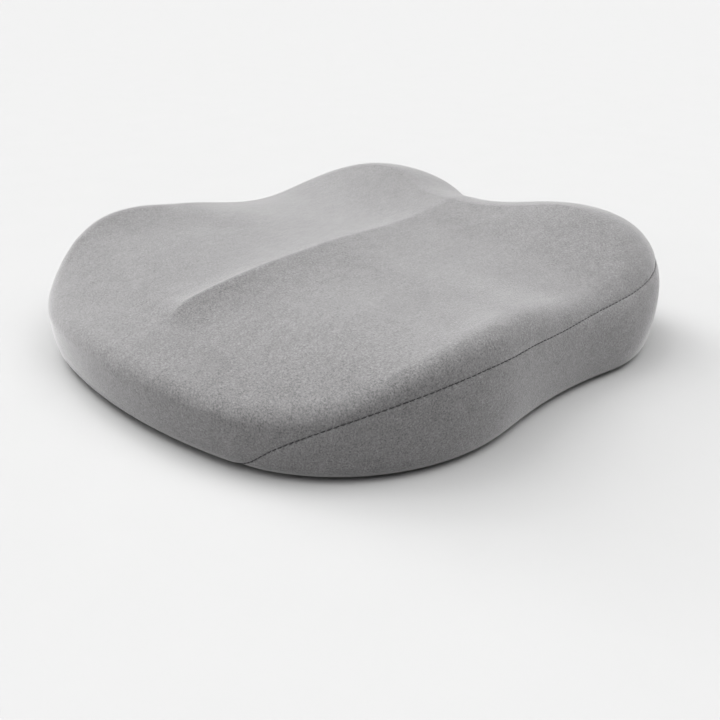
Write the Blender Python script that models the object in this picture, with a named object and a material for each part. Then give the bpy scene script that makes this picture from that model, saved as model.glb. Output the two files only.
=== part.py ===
"""Contoured memory-foam seat cushion with a zipped cover, laid out as separate pieces.

The cushion rests on z = 0 with its centre over the origin. +Y is the rear edge, where two lobes meet in
a notch, -Y is the front edge that rolls down under the thighs, and the X = 0 plane is its plane of
symmetry. One closed skin describes the outside of the cover; every layer under it is that skin moved
inwards, so the layers stay parallel. A zip runs along X in a shallow channel across the underside.

Lengths in this file are millimetres; MM turns them into metres where a mesh is made.
"""
import math

import bmesh
import bpy
import numpy as np
from mathutils import Matrix, Vector

MM = 0.001

# ---- outline in plan: two front lobes and two rear lobes, joined by tangent arcs ------------------
FRONT_LOBE = (70.5, -72.0, 154.0)      # centre x, centre y, radius
REAR_LOBE = (104.0, 111.0, 123.0)
FRONT_EDGE_R = 483.0                   # long convex arc across the front
WAIST_R = 442.0                        # concave arc on each side, between front and rear lobe
NOTCH_R = 71.0                         # concave arc at the middle of the rear edge
OUTLINE_BLEND = 11.0                   # how far the joints between arcs are eased, along the outline

# ---- side wall and rounded edges -----------------------------------------------------------------
BASE_ROUND = 16.0                      # radius where the wall turns under the cushion
UNDERCUT = 3.6                         # how far the wall curves in from its top to the base's rounding
# Around half the perimeter, 0 at the middle of the front and 1 at the rear notch:
STATIONS = (0.0, 0.16, 0.30, 0.42, 0.54, 0.66, 0.80, 1.0)
EDGE_INSET = (11.0, 11.0, 16.0, 24.0, 26.0, 40.0, 50.0, 60.0)   # width of the rounded top edge
EDGE_DROP = (11.0, 9.0, 15.0, 42.0, 34.0, 42.0, 32.0, 32.0)   # height of the rounded top edge
EDGE_POWER = (2.1, 2.2, 2.2, 2.9, 2.7, 2.2, 1.4, 1.4)           # 2 is an ellipse, more is squarer
RIM_RISE = (5.0, -1.2, -6.2, 5.8, 1.0, 1.0, 3.5, 0.0)             # lip along the edge, above the seat
RIM_WIDTH = 112.0
RIM_POWER = 1.7

# ---- seat face -----------------------------------------------------------------------------------
SEAT_Y = (-240.0, -148.0, -28.0, 94.0, 226.0)
SPINE_Z = (45.5, 70.7, 80.7, 83.5, 109.0)      # height along the middle, under the ridge
FLANK_Z = (15.0, 88.5, 79.0, 65.0, 108.0)      # height at FLANK_X to each side
FLANK_X = 226.0
FLANK_POWER = 3.2
RIDGE_TIP_Y = -188.0                   # where the centre ridge rises out of the seat
RIDGE_TIP_LENGTH = 26.0
RIDGE_Y = (-148.0, -60.0, 20.0, 200.0)
RIDGE_Z = (8.0, 8.0, 6.8, 1.0)         # height of the ridge above the seat
RIDGE_HALF_WIDTH = 105.0
RIDGE_POWER = (6.5, 3.4, 2.6, 2.6)     # how quickly the flanks fade, at each of RIDGE_Y
RIDGE_CREST_R = 2.0
POLE_Y = 12.0                          # where the skin's sections meet, on the seat

# ---- layers --------------------------------------------------------------------------------------
COVER = 2.0                            # outer fabric
LINER = 1.0                            # knit liner around the foam
LAYER_GAP = 0.7
CUTTER_Z = (-20.0, 40.0)               # height range of the upright cutters for the base
SHEET_REACH = 300.0                    # how far an uncut base sheet reaches each way
TROUGH_SINK = 0.2                      # how far the cutter for the foam's channel starts below its base

# ---- side seam between the seat panel and the side band ------------------------------------------
SEAM_START = 0.1425                    # station where the band's point starts, by the front corner
SEAM_STOPS = (SEAM_START, 0.1625, 0.18, 0.21, 0.25, 0.30, 0.37, 0.43, 0.50, 0.56, 0.65, 0.72, 1.0)
# Length up the wall from the base seam, at each of those stations:
SEAM_LENGTH = (6.0, 19.4, 30.8, 45.0, 58.5, 70.0, 77.7, 75.2, 71.4, 72.4, 76.2, 79.5, 79.0)
SEAM_OPEN = 1.3                        # half the width of a seam
THREAD_HALF = 0.4                      # half the width of the sewing thread lying in it
THREAD_DEPTH = 1.0
THREAD_SINK = 0.5                      # how far the thread lies below the fabric's face

# ---- zip channel in the underside ----------------------------------------------------------------
ZIP_Y = 70.0
CHANNEL_FLAT = (164.0, 14.0)           # half length and half width of its flat floor
CHANNEL_FADE = (22.0, 26.0)            # distance over which it fades out, along X and along Y
COVER_CHANNEL = 6.0                    # depth in the cover's base
INNER_CHANNEL = 8.3                    # depth in the liner and the foam, room for the slider
SLOT = (143.0, 5.5)                    # half length and half width of the zip opening

# ---- zip -----------------------------------------------------------------------------------------
# X values are distances from the cushion's middle and Y values from the zip's middle line, unless
# the comment says otherwise.
CLEARANCE = 0.3                        # gap between pieces that touch
CHAIN_END = 138.0                      # the chain reaches from -CHAIN_END to +CHAIN_END
TAPE_Z = (8.3, 8.9)
TAPE_Y = (1.2, 13.5)
TAPE_END = 152.0
COIL_Z = (5.7, 8.0)
COIL_Y = (0.8, 3.1)
STOP_X = (0.5, 3.5)                    # a stop's two faces, past the chain's end
STOP_Y = (0.5, 2.9)
STOP_Z = (6.2, 10.0)
STOP_MOUTH_Y = (0.9, 4.0)              # mouth in which a tape's edge lies
BARTACK_X = (144.5, 147.5)
BARTACK_REACH = 6.5
BARTACK_Z = (5.1, 5.7)
END_SEAM_START = 147.0                 # where the stitching beyond the zip starts
SLIDER_X = 131.7                       # slider's place when the zip is closed
SLIDER_LENGTH = 12.0
SLIDER_WIDTH = 9.2
SLIDER_CHAMFER = 1.5
BODY_Z = (4.4, 8.0)                    # body: a plate with a flange up each side
TRACK_HALF = 3.5                       # half width of the track between the flanges
TRACK_FLOOR = 5.4
CAP_Z = (9.3, 10.1)                    # second plate, behind the tapes
CAP_WIDTHS = (8.6, 7.4)                # at the end where the rows part, and at the other end
POST_X = (2.2, 4.8)                    # post between the plates, from the slider's middle
POST_HALF = 0.5
BRIDGE_HALF = (3.6, 1.1)               # half length and half width of the bridge that holds the pull
BRIDGE_Z = (1.4, 4.8)
EYE_HALF = 2.5                         # half length of the opening under the bridge
EYE_Z = (2.4, 4.4)
PULL_Z = 3.4                           # height of the pull tab's hinge axis
PULL_LENGTH = 32.0
PULL_HALF = 3.8                        # half width of the tab
PULL_HALF_THICK = 0.6
PULL_BAR = 0.6                         # how far the tab's cross bar reaches to each side of its axis
PULL_NECK = (4.0, 7.0)                 # where the tab narrows to its neck, from the axis
NECK_HALF = 2.9
RING_HALF = 1.7                        # half width of the opening that the bridge passes through
RING_END = 5.6
PULL_HOLE_R = 1.3

COLUMNS = 64                           # even sections around the perimeter
CLIMB_SECTIONS = (5.5, 6.5)            # extra ones, in steps from the front's middle


# ---- outline -------------------------------------------------------------------------------------
def arc(centre, radius, start, end, count):
    """Points of an arc, from angle start to angle end."""
    angle = np.linspace(start, end, count)
    return np.column_stack([centre[0] + radius * np.cos(angle), centre[1] + radius * np.sin(angle)])


def angle_to(source, target):
    return math.atan2(target[1] - source[1], target[0] - source[0])


def waist_centre():
    """Centre of the concave arc that touches the front and the rear lobe from outside."""
    front = np.array(FRONT_LOBE[:2])
    rear = np.array(REAR_LOBE[:2])
    span = np.linalg.norm(rear - front)
    to_front = FRONT_LOBE[2] + WAIST_R
    to_rear = REAR_LOBE[2] + WAIST_R
    along = (to_front ** 2 - to_rear ** 2 + span ** 2) / (2 * span)
    across = math.sqrt(to_front ** 2 - along ** 2)
    unit = (rear - front) / span
    outward = np.array([unit[1], -unit[0]])
    return front + unit * along + outward * across


def half_outline():
    """Right half of the outline, from the middle of the front to the rear notch."""
    front = np.array(FRONT_LOBE[:2])
    rear = np.array(REAR_LOBE[:2])
    edge = np.array([0.0, front[1] + math.sqrt((FRONT_EDGE_R - FRONT_LOBE[2]) ** 2 - front[0] ** 2)])
    waist = waist_centre()
    notch = np.array([0.0, rear[1] + math.sqrt((NOTCH_R + REAR_LOBE[2]) ** 2 - rear[0] ** 2)])
    corner = angle_to(edge, front)
    leave_front = angle_to(front, waist)
    leave_waist = angle_to(waist, rear)
    leave_rear = angle_to(rear, notch)
    return np.concatenate([
        arc(edge, FRONT_EDGE_R, -math.pi / 2, corner, 80),
        arc(front, FRONT_LOBE[2], corner, leave_front, 160),
        arc(waist, WAIST_R, leave_front + math.pi, leave_waist % (2 * math.pi), 80),
        arc(rear, REAR_LOBE[2], angle_to(rear, waist), leave_rear, 160),
        arc(notch, NOTCH_R, leave_rear - math.pi, -math.pi / 2, 60),
    ])


def closed_lengths(points):
    steps = np.linalg.norm(np.diff(np.vstack([points, points[:1]]), axis=0), axis=1)
    return np.concatenate([[0.0], np.cumsum(steps)])


def dense_outline(count=1200):
    """Whole outline, evenly spaced and eased, with its box centred on the origin."""
    half = half_outline()
    whole = np.vstack([half, half[::-1] * [-1, 1]])
    whole = whole[np.diff(closed_lengths(whole)) > 1e-6]
    lengths = closed_lengths(whole)
    wanted = np.linspace(0, lengths[-1], count, endpoint=False)
    loop = np.vstack([whole, whole[:1]])
    even = np.column_stack([np.interp(wanted, lengths, loop[:, k]) for k in range(2)])
    passes = round((OUTLINE_BLEND * count / lengths[-1]) ** 2 * 2)
    for _ in range(passes):
        even = even / 2 + (np.roll(even, 1, axis=0) + np.roll(even, -1, axis=0)) / 4
    even[:, 1] -= (even[:, 1].max() + even[:, 1].min()) / 2
    return even


OUTLINE = dense_outline()


def outline_at(fractions):
    """Points of the outline at fractions of its perimeter, 0 at the middle of the front."""
    place = np.mod(fractions, 1.0) * len(OUTLINE)
    low = np.floor(place).astype(int) % len(OUTLINE)
    share = (place - np.floor(place))[:, None]
    return OUTLINE[low] * (1 - share) + OUTLINE[(low + 1) % len(OUTLINE)] * share


def outward_at(fractions):
    """Unit normals of the outline, pointing out."""
    near = 2.0 / len(OUTLINE)
    run = outline_at(fractions + near) - outline_at(fractions - near)
    run /= np.linalg.norm(run, axis=1, keepdims=True)
    return np.column_stack([run[:, 1], -run[:, 0]])


# ---- skin ----------------------------------------------------------------------------------------
def through(stops, values, place, flat_ends=False):
    """Smooth curve through values at stops, held at its end values outside them."""
    stops = np.asarray(stops, dtype=float)
    values = np.asarray(values, dtype=float)
    slopes = np.gradient(values, stops)
    if flat_ends:
        slopes[0] = 0.0
        slopes[-1] = 0.0
    place = np.clip(place, stops[0], stops[-1])
    k = np.clip(np.searchsorted(stops, place, side="right") - 1, 0, len(stops) - 2)
    span = stops[k + 1] - stops[k]
    u = (place - stops[k]) / span
    start = (1 + 2 * u) * (1 - u) ** 2 * values[k] + u * (1 - u) ** 2 * span * slopes[k]
    end = u ** 2 * (3 - 2 * u) * values[k + 1] - u ** 2 * (1 - u) * span * slopes[k + 1]
    return start + end


def ease(value):
    value = np.clip(value, 0.0, 1.0)
    return value * value * (3 - 2 * value)


def station_at(fractions):
    """Station from 0 at the middle of the front to 1 at the rear notch, the same on both sides."""
    return 1 - np.abs(1 - 2 * np.mod(fractions, 1.0))


def seat_height(x, y):
    """Height of the seat face, with its centre ridge and without its rim."""
    spine = through(SEAT_Y, SPINE_Z, y)
    flank = through(SEAT_Y, FLANK_Z, y)
    seat = spine + (flank - spine) * (np.abs(x) / FLANK_X) ** FLANK_POWER
    beside = np.sqrt(x ** 2 + RIDGE_CREST_R ** 2) - RIDGE_CREST_R
    slope = (1 - np.clip(beside / RIDGE_HALF_WIDTH, 0, 1)) ** through(RIDGE_Y, RIDGE_POWER, y)
    tip = ease((y - RIDGE_TIP_Y) / RIDGE_TIP_LENGTH)
    return seat + through(RIDGE_Y, RIDGE_Z, y) * tip * slope


def sections(fractions, base_rows=6, wall_rows=8, edge_rows=14, seat_rows=24):
    """Sections of the skin from the base seam up the wall and over the edge to the seat's middle."""
    plan = outline_at(fractions)
    out = outward_at(fractions)
    station = station_at(fractions)
    inset = through(STATIONS, EDGE_INSET, station, True)
    drop = through(STATIONS, EDGE_DROP, station, True)
    power = through(STATIONS, EDGE_POWER, station, True)
    rise = through(STATIONS, RIM_RISE, station, True)
    wall_top = seat_height(plan[:, 0], plan[:, 1]) - drop + rise
    tilt = np.arctan(2 * UNDERCUT / (wall_top - BASE_ROUND))
    rows = []
    for k in range(base_rows):
        turn = (math.pi / 2 - tilt) * k / base_rows
        inward = UNDERCUT + BASE_ROUND * (np.cos(tilt) - np.sin(turn))
        height = BASE_ROUND * (1 - np.cos(turn))
        rows.append(np.column_stack([plan - out * inward[:, None], height]))
    low = BASE_ROUND * (1 - np.sin(tilt))
    for k in range(wall_rows):
        share = k / wall_rows
        inward = UNDERCUT * (1 - share) ** 2
        rows.append(np.column_stack([plan - out * inward, low + (wall_top - low) * share]))
    for k in range(edge_rows + 1):
        turn = math.pi / 2 * k / edge_rows
        inward = inset * (1 - math.cos(turn) ** (2 / power))
        place = plan - out * inward[:, None]
        height = seat_height(place[:, 0], place[:, 1]) + rise - drop * (1 - math.sin(turn) ** (2 / power))
        rows.append(np.column_stack([place, height]))
    crest = rows[-1][:, :2]
    pole = np.array([0.0, POLE_Y])
    reach = np.linalg.norm(crest - pole, axis=1)
    for k in range(1, seat_rows + 1):
        share = k / seat_rows
        place = crest + (pole - crest) * share
        lip = rise * (1 - np.clip(reach * share / RIM_WIDTH, 0, 1)) ** RIM_POWER
        rows.append(np.column_stack([place, seat_height(place[:, 0], place[:, 1]) + lip]))
    return np.array(rows), base_rows + wall_rows + edge_rows


class Skin:
    """The cover's outer face, sampled along sections at the given fractions of the perimeter."""

    def __init__(self, fractions):
        self.fractions = np.asarray(fractions)
        near = 1.0 / 1200
        self.points, self.crest_row = sections(self.fractions)
        around = sections(self.fractions + near)[0] - sections(self.fractions - near)[0]
        along = np.gradient(self.points, axis=0)
        normals = np.cross(around, along)
        normals[-1] = (0.0, 0.0, 1.0)
        self.normals = normals / np.linalg.norm(normals, axis=2, keepdims=True)
        steps = np.linalg.norm(np.diff(self.points, axis=0), axis=2)
        self.lengths = np.vstack([np.zeros(len(self.fractions)), np.cumsum(steps, axis=0)])

    def crest_length(self):
        return self.lengths[self.crest_row]

    def ring(self, lengths, inward):
        """One point on each section, a length up it, moved inwards off the cover's face."""
        ring = np.empty((len(self.fractions), 3))
        for j in range(len(self.fractions)):
            for axis in range(3):
                point = np.interp(lengths[j], self.lengths[:, j], self.points[:, j, axis])
                normal = np.interp(lengths[j], self.lengths[:, j], self.normals[:, j, axis])
                ring[j, axis] = point - normal * inward
        return ring


# ---- meshes --------------------------------------------------------------------------------------
def material(name, colour, roughness, metallic=0.0):
    made = bpy.data.materials.new(name)
    made.use_nodes = True
    shader = made.node_tree.nodes["Principled BSDF"]
    shader.inputs["Base Color"].default_value = (*colour, 1.0)
    shader.inputs["Roughness"].default_value = roughness
    shader.inputs["Metallic"].default_value = metallic
    return made


def make_object(name, points, faces, finish):
    """Closed mesh object from points in millimetres, with its faces turned outwards."""
    mesh = bpy.data.meshes.new(name)
    mesh.from_pydata([tuple(float(c) * MM for c in point) for point in points], [], faces)
    work = bmesh.new()
    work.from_mesh(mesh)
    loose = [vert for vert in work.verts if not vert.link_faces]
    bmesh.ops.delete(work, geom=loose, context="VERTS")
    bmesh.ops.recalc_face_normals(work, faces=work.faces)
    work.to_mesh(mesh)
    work.free()
    mesh.materials.append(finish)
    made = bpy.data.objects.new(name, mesh)
    bpy.context.scene.collection.objects.link(made)
    return made


def cell_corners(ring, column, columns):
    """Corners of one cell of a skin's grid: two on its ring, two on the next."""
    after = (column + 1) % columns
    low = ring * columns
    high = low + columns
    return low + column, low + after, high + after, high + column


def cell_triangles(points, corners):
    """Two triangles over a cell, split along its shorter diagonal."""
    a, b, c, d = corners
    if np.linalg.norm(points[a] - points[c]) <= np.linalg.norm(points[b] - points[d]):
        return [(a, b, c), (a, c, d)]
    return [(a, b, d), (b, c, d)]


def panel(name, outer, inner, keep, finish, poles=None):
    """Closed sheet between two stacks of rings, over the grid cells that keep(ring, column) names.

    poles are the points where the last rings close on the seat, outer and inner.
    """
    count, columns = len(outer), len(outer[0])
    points = [point for ring in outer for point in ring] + [point for ring in inner for point in ring]
    points = [np.asarray(point, dtype=float) for point in points]
    back = count * columns
    faces = []
    sides = {}
    for ring in range(count - 1):
        for column in range(columns):
            if not keep(ring, column):
                continue
            a, b, c, d = cell_corners(ring, column, columns)
            for p, q, r in cell_triangles(points, (a, b, c, d)):
                faces += [(p, q, r), (back + p, back + r, back + q)]
            for side in ((a, b), (b, c), (c, d), (d, a)):
                sides[side] = True
    if poles is not None:
        points += [np.array(pole) for pole in poles]
        last = (count - 1) * columns
        for column in range(columns):
            a, b = last + column, last + (column + 1) % columns
            faces += [(a, b, 2 * back), (back + b, back + a, 2 * back + 1)]
            sides[(a, b)] = True
    for a, b in sides:
        if (b, a) not in sides:
            faces += [(a, back + a, b), (b, back + a, back + b)]
    return make_object(name, points, faces, finish)


def solid(name, rings, pole, finish):
    """Closed solid under a stack of rings, flat underneath."""
    columns = len(rings[0])
    points = [np.asarray(point, dtype=float) for ring in rings for point in ring] + [np.array(pole)]
    faces = [tuple(range(columns))]
    for ring in range(len(rings) - 1):
        for column in range(columns):
            faces += cell_triangles(points, cell_corners(ring, column, columns))
    last = (len(rings) - 1) * columns
    faces += [(last + j, last + (j + 1) % columns, len(points) - 1) for j in range(columns)]
    return make_object(name, points, faces, finish)


def box(name, x_range, y_range, z_range, finish):
    points = [(x, y, z) for x in x_range for y in y_range for z in z_range]
    faces = [(0, 1, 3, 2), (4, 6, 7, 5), (0, 4, 5, 1), (2, 3, 7, 6), (0, 2, 6, 4), (1, 5, 7, 3)]
    return make_object(name, points, faces, finish)


def prism(name, loop, z_range, finish):
    """Upright prism on a plan loop."""
    count = len(loop)
    points = [(x, y, z) for z in z_range for x, y in loop]
    faces = [tuple(range(count)), tuple(range(count, 2 * count))]
    faces += [(j, (j + 1) % count, count + (j + 1) % count, count + j) for j in range(count)]
    return make_object(name, points, faces, finish)


def combine(target, cutter, operation):
    """Boolean with a cutter that is used up."""
    step = target.modifiers.new(operation.lower(), "BOOLEAN")
    step.operation = operation
    step.object = cutter
    step.solver = "EXACT"
    with bpy.context.temp_override(object=target, active_object=target, selected_objects=[target]):
        bpy.ops.object.modifier_apply(modifier=step.name)
    bpy.data.objects.remove(cutter)


# ---- the cover, liner and foam -------------------------------------------------------------------
LOWER_SHARES = (0.0, 0.16, 0.34, 0.66)       # rings between the base seam and the side seam
UPPER_SHARES = (0.22, 0.42, 0.62, 0.82, 1.0)   # rings from the side seam to the crest of the edge
SEAT_SHARES = (0.16, 0.34, 0.53, 0.72, 0.87)   # rings from the crest to the pole


def column_fractions():
    """Even sections, a close pair at each end of the side band to leave a seam, and extra ones after it.

    The extra sections follow the seam where it climbs most steeply.
    """
    even = np.arange(COLUMNS) / COLUMNS
    start = SEAM_START / 2
    seam = 2 * SEAM_OPEN / closed_lengths(OUTLINE)[-1]
    pairs = np.array([start - seam, start, 1 - start, 1 - start + seam])
    clear = np.all(np.abs(even[:, None] - pairs[None, :]) > 0.3 / COLUMNS, axis=1)
    climb = np.array(CLIMB_SECTIONS) / COLUMNS
    return np.sort(np.concatenate([even[clear], pairs, climb, 1 - climb]))


def in_band(fractions):
    """Whether the side band covers the stretch that starts at each fraction."""
    middle = (fractions + np.roll(fractions, -1) + (np.roll(fractions, -1) < fractions)) / 2
    return (middle > SEAM_START / 2) & (middle < 1 - SEAM_START / 2)


def seam_stretch(fractions):
    """Whether each stretch is one of the two short gaps at the band's ends."""
    after = np.roll(fractions, -1) + (np.roll(fractions, -1) < fractions)
    return (after - fractions) < 0.1 / COLUMNS


def ring_lengths(skin, at_seam):
    """Lengths up the sections of every ring; at_seam are the offsets of the rings at the side seam."""
    seam = through(SEAM_STOPS, SEAM_LENGTH, station_at(skin.fractions))
    crest = skin.crest_length()
    total = skin.lengths[-1]
    rings = [seam * share for share in LOWER_SHARES]
    rings += [seam + offset for offset in at_seam]
    rings += [seam + (crest - seam) * share for share in UPPER_SHARES]
    rings += [crest + (total - crest) * share for share in SEAT_SHARES]
    return rings


def layer_poles(outer, inner):
    top = float(seat_height(np.array([0.0]), np.array([POLE_Y]))[0])
    return [(0.0, POLE_Y, top - outer), (0.0, POLE_Y, top - inner)]


def build_cover(skin, finishes):
    at_seam = (-SEAM_OPEN, -THREAD_HALF, THREAD_HALF, SEAM_OPEN)
    lengths = ring_lengths(skin, at_seam)
    outer = [skin.ring(length, 0.0) for length in lengths]
    inner = [skin.ring(length, COVER) for length in lengths]
    below = len(LOWER_SHARES)
    banded = in_band(skin.fractions)
    gap = seam_stretch(skin.fractions)

    def top_cell(ring, column):
        return ring >= below + 3 or not (banded[column] or gap[column])

    def band_cell(ring, column):
        return ring < below and banded[column] and not gap[column]

    def thread_cell(ring, column):
        return ring == below + 1 and banded[column] and not gap[column]

    panel("cover_top_panel", outer, inner, top_cell, finishes["cover"], layer_poles(0.0, COVER))
    panel("cover_side_band", outer, inner, band_cell, finishes["cover"])
    sunk = [skin.ring(length, THREAD_SINK) for length in lengths]
    deep = [skin.ring(length, THREAD_SINK + THREAD_DEPTH) for length in lengths]
    panel("side_seam_thread", sunk, deep, thread_cell, finishes["thread"])


def build_liner_and_foam(skin, finishes):
    lengths = ring_lengths(skin, (-SEAM_OPEN, SEAM_OPEN))
    outside = COVER + LAYER_GAP
    inside = outside + LINER
    outer = [skin.ring(length, outside) for length in lengths]
    inner = [skin.ring(length, inside) for length in lengths]
    poles = layer_poles(outside, inside)
    panel("liner_top", outer, inner, lambda ring, column: True, finishes["liner"], poles)
    foam = inside + LAYER_GAP
    rings = [skin.ring(length, foam) for length in lengths]
    rings[0][:, 2] = foam
    pole = layer_poles(foam, foam)[0]
    core = solid("foam_core", rings, pole, finishes["foam"])
    heights = (CUTTER_Z[0], foam - TROUGH_SINK)
    trough = channel_sheet("trough", heights, (0.0, INNER_CHANNEL + TROUGH_SINK), "both", finishes["foam"])
    combine(core, trough, "DIFFERENCE")


# ---- the base ------------------------------------------------------------------------------------
def channel(x, y):
    """How much of the zip channel's depth there is at a place: 1 on its floor, 0 outside it."""
    along = ease(1 - (abs(x) - CHANNEL_FLAT[0]) / CHANNEL_FADE[0])
    across = ease(1 - (abs(y - ZIP_Y) - CHANNEL_FLAT[1]) / CHANNEL_FADE[1])
    return float(along * across)


def channel_lines(flat, fade, reach):
    """Grid lines across the channel: its floor, four steps down each side, and the far ends."""
    side = [flat + fade * k / 4 for k in range(5)]
    return [-reach] + [-value for value in reversed(side)] + side + [reach]


def channel_sheet(name, heights, depths, half, finish):
    """Sheet wider than the base, over its front half, its rear half or both, that follows the zip channel.

    heights are the sheet's two faces on the flat base, and depths how far each rises in the channel.
    """
    xs = channel_lines(CHANNEL_FLAT[0], CHANNEL_FADE[0], SHEET_REACH)
    ys = [ZIP_Y + value for value in channel_lines(CHANNEL_FLAT[1], CHANNEL_FADE[1], 2 * SHEET_REACH)]
    if half == "front":
        ys = [y for y in ys if y < ZIP_Y] + [ZIP_Y - SEAM_OPEN]
    if half == "rear":
        ys = [ZIP_Y + SEAM_OPEN] + [y for y in ys if y > ZIP_Y]
    nx, ny = len(xs), len(ys)
    points = []
    for height, depth in zip(heights, depths):
        points += [(x, y, height + depth * channel(x, y)) for x in xs for y in ys]
    back = nx * ny
    faces = []
    for i in range(nx - 1):
        for j in range(ny - 1):
            a, b, c, d = i * ny + j, (i + 1) * ny + j, (i + 1) * ny + j + 1, i * ny + j + 1
            faces += [(a, c, b), (a, d, c)]
            faces += [(back + a, back + b, back + c), (back + a, back + c, back + d)]
    rim = [i * ny for i in range(nx)] + [(nx - 1) * ny + j for j in range(1, ny)]
    rim += [i * ny + ny - 1 for i in range(nx - 2, -1, -1)] + [j for j in range(ny - 2, 0, -1)]
    for k, a in enumerate(rim):
        b = rim[(k + 1) % len(rim)]
        faces += [(a, b, back + b), (a, back + b, back + a)]
    return make_object(name, points, faces, finish)


def base_loop(skin, inward):
    """Plan loop of the base seam, moved inwards."""
    edge = skin.points[0][:, :2]
    return edge - outward_at(skin.fractions) * inward


def build_base(skin, finishes):
    for half in ("front", "rear"):
        name = f"cover_base_{half}"
        sheet = channel_sheet(name, (0.0, COVER), (COVER_CHANNEL, COVER_CHANNEL), half, finishes["base"])
        trim = prism("trim", base_loop(skin, 2 * SEAM_OPEN), CUTTER_Z, finishes["base"])
        combine(sheet, trim, "INTERSECT")
        slot = mirrored(1, -SLOT[1], SLOT[1])
        opening = box("opening", (-SLOT[0], SLOT[0]), slot, CUTTER_Z, finishes["base"])
        combine(sheet, opening, "DIFFERENCE")
    low = COVER + LAYER_GAP
    depths = (INNER_CHANNEL, INNER_CHANNEL)
    sheet = channel_sheet("liner_base", (low, low + LINER), depths, "both", finishes["liner"])
    trim = prism("trim", base_loop(skin, LAYER_GAP), CUTTER_Z, finishes["liner"])
    combine(sheet, trim, "INTERSECT")
    loops = [base_loop(skin, SEAM_OPEN + side * THREAD_HALF) for side in (-1, 1)]
    low_ring = [np.column_stack([loop, np.full(len(loop), THREAD_SINK)]) for loop in loops]
    high_ring = [ring + [0.0, 0.0, THREAD_DEPTH] for ring in low_ring]
    panel("base_seam_thread", low_ring, high_ring, lambda ring, column: True, finishes["thread"])
    build_end_seams(skin, finishes)


def build_end_seams(skin, finishes):
    """Stitching that joins the two base panels beyond each end of the zip."""
    edge = base_loop(skin, 2 * SEAM_OPEN + CLEARANCE)
    right = edge[edge[:, 0] > 0]
    order = np.argsort(right[:, 1])
    end = float(np.interp(ZIP_Y, right[order, 1], right[order, 0]))
    grid = channel_lines(CHANNEL_FLAT[0], CHANNEL_FADE[0], end)
    stops = [END_SEAM_START] + [x for x in grid if x > END_SEAM_START]
    for side, name in ((-1, "left"), (1, "right")):
        points = []
        for x in stops:
            z = COVER_CHANNEL * channel(x, ZIP_Y) + THREAD_SINK
            for y in (ZIP_Y - THREAD_HALF, ZIP_Y + THREAD_HALF):
                points += [(side * x, y, z), (side * x, y, z + THREAD_DEPTH)]
        faces = [(0, 1, 3, 2), tuple(len(points) - 4 + k for k in (0, 2, 3, 1))]
        for k in range(len(stops) - 1):
            a = 4 * k
            faces += [(a + p, a + q, a + q + 4, a + p + 4) for p, q in ((0, 2), (2, 3), (3, 1), (1, 0))]
        make_object(f"zip_end_seam_{name}", points, faces, finishes["thread"])


# ---- the zip -------------------------------------------------------------------------------------
def mirrored(side, near, far):
    """Y range of a piece on the front (-1) or rear (1) side of the chain."""
    return sorted((ZIP_Y + side * near, ZIP_Y + side * far))


def stop_block(name, side, y_range, mouth_sides, finish):
    """Stop past one end of the chain, folded around the edges of the tapes on mouth_sides."""
    faces = sorted(side * (CHAIN_END + x) for x in STOP_X)
    stop = box(name, faces, y_range, STOP_Z, finish)
    for mouth_side in mouth_sides:
        across = (faces[0] - CLEARANCE, faces[1] + CLEARANCE)
        deep = (TAPE_Z[0] - CLEARANCE, TAPE_Z[1] + CLEARANCE)
        mouth = box("mouth", across, mirrored(mouth_side, *STOP_MOUTH_Y), deep, finish)
        combine(stop, mouth, "DIFFERENCE")


def build_chain(finishes):
    tape_x = (-TAPE_END, TAPE_END)
    chain_x = (-CHAIN_END, CHAIN_END)
    for side, name in ((-1, "front"), (1, "rear")):
        box(f"zip_tape_{name}", tape_x, mirrored(side, *TAPE_Y), TAPE_Z, finishes["tape"])
        box(f"zip_coil_{name}", chain_x, mirrored(side, *COIL_Y), COIL_Z, finishes["coil"])
        stop_block(f"zip_top_stop_{name}", 1, mirrored(side, *STOP_Y), (side,), finishes["stop"])
    both = mirrored(1, -STOP_Y[1], STOP_Y[1])
    stop_block("zip_bottom_stop", -1, both, (-1, 1), finishes["stop"])
    reach = mirrored(1, -BARTACK_REACH, BARTACK_REACH)
    for side, name in ((-1, "left"), (1, "right")):
        x_range = sorted(side * x for x in BARTACK_X)
        box(f"zip_bartack_{name}", x_range, reach, BARTACK_Z, finishes["thread"])


def around_slider(x_range):
    return [SLIDER_X + x for x in x_range]


def wedge_loop(front, back, length):
    """Plan loop of a slider plate: front is its width where the rows part, back at its other end."""
    half = length / 2
    side = [(-half, back / 2), (0.0, back / 2), (half - SLIDER_CHAMFER, front / 2)]
    side.append((half, front / 2 - SLIDER_CHAMFER))
    loop = side + [(x, -y) for x, y in reversed(side)]
    return [(SLIDER_X + x, ZIP_Y + y) for x, y in loop]


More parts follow.
